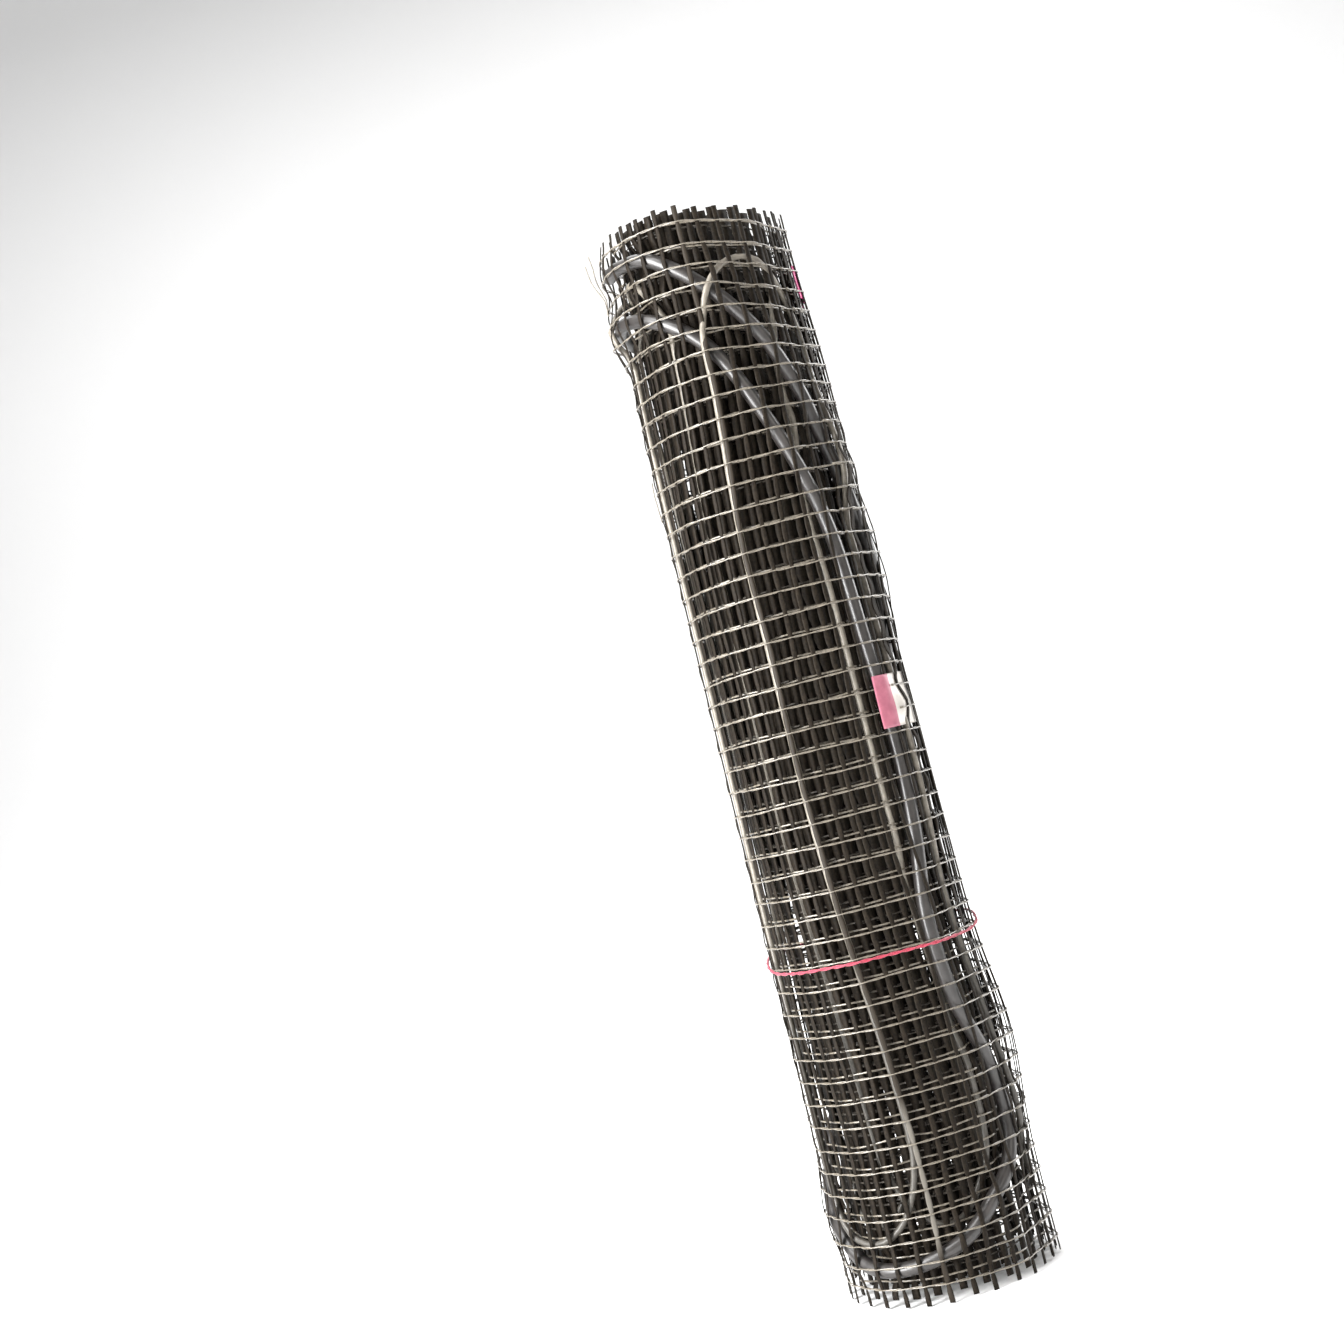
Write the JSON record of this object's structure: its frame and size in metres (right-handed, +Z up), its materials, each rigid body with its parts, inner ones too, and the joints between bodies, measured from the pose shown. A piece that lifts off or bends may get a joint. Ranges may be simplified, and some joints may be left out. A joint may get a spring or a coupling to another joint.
{
  "type": "underfloor heating mat",
  "caption": "Rolled underfloor heating mat: a mesh sheet with a thin heating cable in loops and a tucked cold lead, tied with a string.",
  "frame": {"origin": "middle of the roll's lower end, on the floor it stands on", "axes": "+Z up along the roll's axis, -Y towards the front as pictured"},
  "size_m": [0.1018, 0.1018, 0.5],
  "materials": {
    "mesh": "glossy coated glass-fibre mesh",
    "heating_cable": "satin",
    "cold_lead": "satin",
    "splice": "heat-shrunk sleeve",
    "string": "twisted string",
    "label": "plain printed label without text",
    "marker": "plain coloured marker"
  },
  "bodies": {
    "root": {"mat_roll": "mesh", "heating_cable": "heating_cable", "cold_lead": "cold_lead", "splice_sleeve": "splice", "tie_string": "string", "label": "label", "marker_label": "marker"}
  },
  "joints": []
}
